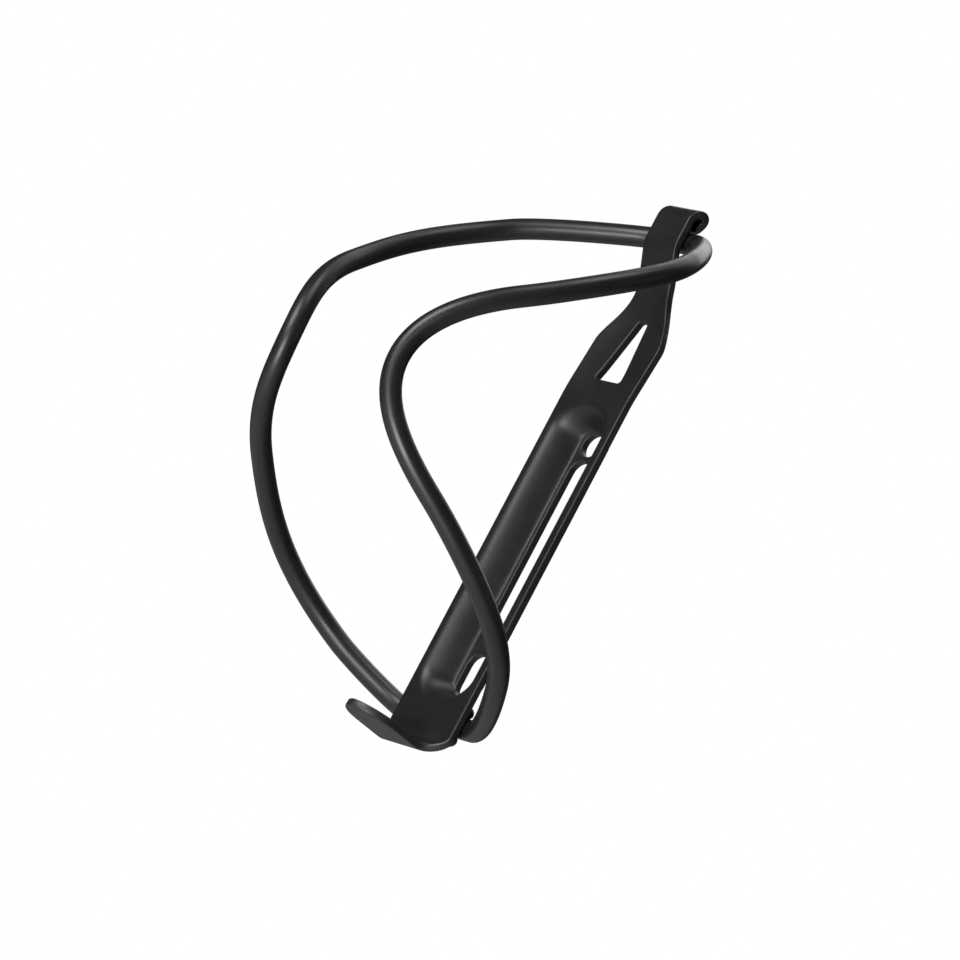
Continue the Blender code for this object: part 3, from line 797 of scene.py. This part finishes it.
def spread(tree, value, low, high):
    made = node(tree, "ShaderNodeMapRange")
    wire(tree, value, made.inputs["Value"])
    made.inputs["From Min"].default_value = 0.3
    made.inputs["From Max"].default_value = 0.7
    made.inputs["To Min"].default_value = low
    made.inputs["To Max"].default_value = high
    return made.outputs["Result"]


def blend_colours(tree, factor, one, two):
    made = node(tree, "ShaderNodeMix", data_type="RGBA")
    fill(tree, made.inputs["Factor"], factor)
    for socket, value in ((made.inputs[6], one), (made.inputs[7], two)):
        fill(tree, socket, (*value, 1.0) if isinstance(value, tuple) else value)
    return made.outputs[2]


def black_metal(name, finish, roughness, edges=False, grain=1.0):
    """Blasted and black anodised alloy: faint clouding, fine grain, and cut edges painted lighter,
    partly as thinner film and partly as a painted highlight of the light that the edges catch.
    """
    made, tree, shader, place = shader_start(name)
    black = tuple(finish.black)
    light = tuple(LIGHTER * c for c in black)
    clouds = spread(tree, noise(tree, place, CLOUD_SCALE), 0.0, 1.0)
    base = blend_colours(tree, clouds, black, light)
    if edges:
        # Cut edges are painted lighter: partly thinner worn film, partly a painted highlight
        # standing in for light caught by the edges.
        mark = node(tree, "ShaderNodeAttribute", attribute_name="cut_edge").outputs["Fac"]
        wear_and_highlight_spots = spread(tree, noise(tree, place, EDGE_SCALE), 0.4, 0.8)
        uneven = maths(tree, "MULTIPLY", mark, wear_and_highlight_spots)
        base = blend_colours(tree, uneven, base, tuple(finish.edge_wear_and_highlight))
    wire(tree, base, shader.inputs["Base Color"])
    cloud = noise(tree, place, GLOSS_SCALE, 3.0)
    wire(tree, spread(tree, cloud, roughness - 0.03, roughness + 0.05), shader.inputs["Roughness"])
    shader.inputs["Metallic"].default_value = finish.metal
    fine = noise(tree, place, 1.0 / finish.grain, 2.0, 0.6)
    bump = node(tree, "ShaderNodeBump")
    bump.inputs["Strength"].default_value = BUMP_STRENGTH * grain
    bump.inputs["Distance"].default_value = BUMP_DEPTH
    wire(tree, fine, bump.inputs["Height"])
    wire(tree, bump.outputs[0], shader.inputs["Normal"])
    return made


# ---------------------------------------------------------------- operators

def add_piece(item, slot, *nodes):
    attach(item, "root")
    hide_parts(*nodes)
    return item


class MakePlate(Operator):
    """Presses the back plate: foot, channel, slots, window, tongue and curl"""
    bl_idname = "cage.make_plate"
    bl_label = "Make back plate"

    def execute(self, context):
        scene = context.scene
        item = bpy.data.objects.new("pressed_plate", plate_mesh(scene.cage_plate))
        scene.collection.objects.link(item)
        finish = scene.cage_finish
        item.data.materials.append(black_metal("black_plate", finish, finish.plate_rough, True))
        add_piece(item, "black_plate", "back_plate")
        return {"FINISHED"}


class MakeRod(Operator):
    """Sweeps the rod round both sides of the bottle"""
    bl_idname = "cage.make_rod"
    bl_label = "Make rod"

    def execute(self, context):
        scene = context.scene
        rod, finish = scene.cage_rod, scene.cage_finish
        item = path_object("bent_rod", BentRod(rod, scene.cage_plate).whole())
        grown(item, rod_tree(), {
            "Radius": rod.radius, "Spacing": rod.spacing, "Sides": rod.sides,
            "Chamfer": rod.chamfer,
            "Finish": black_metal("black_rod", finish, finish.rod_rough)})
        item.cycles.shadow_terminator_offset = 0.15
        item.cycles.shadow_terminator_geometry_offset = 0.1
        add_piece(item, "black_rod", "cage_rod")
        return {"FINISHED"}


class MakeWelds(Operator):
    """Lays the weld beads behind the foot and inside the curl"""
    bl_idname = "cage.make_welds"
    bl_label = "Make welds"

    def execute(self, context):
        scene = context.scene
        weld, finish = scene.cage_weld, scene.cage_finish
        tree = bead_tree()
        coat = black_metal("black_weld", finish, finish.weld_rough, grain=2.0)
        beads = (("lower_bead_under", "lower_weld_below", weld.lower_radius, weld.lower_half),
                 ("lower_bead_over", "lower_weld_above", weld.upper_radius, weld.lower_half),
                 ("curl_bead", "top_weld", weld.top_radius, weld.top_half))
        for name, cad_node, radius, half in beads:
            low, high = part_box(cad_node)
            middle = (low + high) / 2
            item = path_object(name, [Vector((x, middle.y, middle.z)) for x in (-half, half)])
            grown(item, tree, {
                "Radius": radius, "Spacing": BEAD_SPACING, "Pitch": weld.ripple_pitch,
                "Ripple": weld.ripple, "Wander": weld.wander, "Seed": weld.seed, "Finish": coat})
            add_piece(item, "black_weld", cad_node)
        return {"FINISHED"}


class MakeStage(Operator):
    """Sets up the floor, the soft lights and the camera"""
    bl_idname = "cage.make_stage"
    bl_label = "Make stage"

    def execute(self, context):
        stage = context.scene.cage_stage
        make_floor(stage)
        make_world()
        make_lights()
        make_camera(stage)
        return {"FINISHED"}


def make_floor(stage):
    half, z = stage.floor_half, stage.floor_drop
    mesh = bpy.data.meshes.new("floor")
    mesh.from_pydata([(-half, -half, z), (half, -half, z), (half, half, z), (-half, half, z)],
                     [], [(0, 1, 2, 3)])
    floor = bpy.data.objects.new("floor", mesh)
    bpy.context.scene.collection.objects.link(floor)
    made, tree, shader, place = shader_start("pale_floor")
    pale = tuple(stage.pale)
    wire(tree, blend_colours(tree, noise(tree, place, 3.0), pale, tuple(0.97 * c for c in pale)),
         shader.inputs["Base Color"])
    shader.inputs["Roughness"].default_value = 0.9
    shader.inputs["Emission Color"].default_value = (*pale, 1.0)
    seen = node(tree, "ShaderNodeLightPath").outputs["Is Camera Ray"]
    wire(tree, maths(tree, "MULTIPLY", seen, FLOOR_GLOW), shader.inputs["Emission Strength"])
    mesh.materials.append(made)


def make_world():
    """White to the camera, and a dim even light on the object."""
    world = bpy.data.worlds.new("studio")
    world.use_nodes = True
    bpy.context.scene.world = world
    tree = world.node_tree
    tree.nodes.clear()
    seen = node(tree, "ShaderNodeBackground")
    seen.inputs["Strength"].default_value = 1.0
    seen.inputs["Color"].default_value = (1.0, 1.0, 1.0, 1.0)
    lit = node(tree, "ShaderNodeBackground")
    lit.inputs["Strength"].default_value = WORLD_FILL
    lit.inputs["Color"].default_value = (0.93, 0.96, 1.0, 1.0)
    ray = node(tree, "ShaderNodeLightPath")
    mix = node(tree, "ShaderNodeMixShader")
    wire(tree, ray.outputs["Is Camera Ray"], mix.inputs[0])
    wire(tree, lit.outputs[0], mix.inputs[1])
    wire(tree, seen.outputs[0], mix.inputs[2])
    wire(tree, mix.outputs[0], node(tree, "ShaderNodeOutputWorld").inputs[0])


def make_lights():
    centre = (CAD_BOX[0] + CAD_BOX[1]) / 2
    for name, azimuth, elevation, distance, side, power in LIGHTS:
        light = bpy.data.lights.new(name, "AREA")
        light.shape = "SQUARE"
        light.size = side
        light.energy = power
        item = bpy.data.objects.new(name, light)
        item.visible_camera = False
        bpy.context.scene.collection.objects.link(item)
        a, e = radians(azimuth), radians(elevation)
        out = Vector((sin(a) * cos(e), -cos(a) * cos(e), sin(e)))
        item.location = centre + out * distance
        item.rotation_mode = "QUATERNION"
        item.rotation_quaternion = out.to_track_quat("Z", "Y")


def make_camera(stage):
    a, e = stage.azimuth, stage.elevation
    out = Vector((sin(a) * cos(e), -cos(a) * cos(e), sin(e)))
    right = Vector((cos(a), sin(a), 0.0))
    up = out.cross(right)
    turned = right * cos(stage.roll) + up * sin(stage.roll)
    raised = up * cos(stage.roll) - right * sin(stage.roll)
    data = bpy.data.cameras.new("camera")
    data.lens = stage.lens
    data.sensor_width = 36.0
    data.clip_end = 100.0
    camera = bpy.data.objects.new("camera", data)
    bpy.context.scene.collection.objects.link(camera)
    turn_by = Matrix((turned, raised, out)).transposed().to_4x4()
    camera.matrix_world = Matrix.Translation(Vector(stage.aim) + out * stage.distance) @ turn_by
    bpy.context.scene.camera = camera


class CagePanel(Panel):
    """Lists the cage's steps and sizes"""
    bl_idname = "VIEW3D_PT_bottle_cage"
    bl_label = "Bottle Cage"
    bl_space_type = "VIEW_3D"
    bl_region_type = "UI"
    bl_category = "Cage"

    def draw(self, context):
        for step in STEPS:
            self.layout.operator(step.bl_idname)
        for name, group in SETTINGS.items():
            box = self.layout.box()
            box.label(text=group.__name__)
            for prop in group.__annotations__:
                box.prop(getattr(context.scene, name), prop)


STEPS = (MakePlate, MakeRod, MakeWelds, MakeStage)
CLASSES = (*SETTINGS.values(), *STEPS, CagePanel)


def register():
    for made in CLASSES:
        bpy.utils.register_class(made)
    for name, group in SETTINGS.items():
        setattr(bpy.types.Scene, name, PointerProperty(type=group))


def unregister():
    for name in SETTINGS:
        delattr(bpy.types.Scene, name)
    for made in reversed(CLASSES):
        bpy.utils.unregister_class(made)


def clear_startup():
    for item in list(bpy.data.objects):
        if item.name in ("Cube", "Light", "Camera"):
            bpy.data.objects.remove(item)


def main():
    clear_startup()
    register()
    bpy.context.scene.view_settings.view_transform = "Standard"
    bpy.ops.cage.make_stage()
    bpy.ops.cage.make_plate()
    bpy.ops.cage.make_rod()
    bpy.ops.cage.make_welds()


if __name__ == "__main__":
    main()
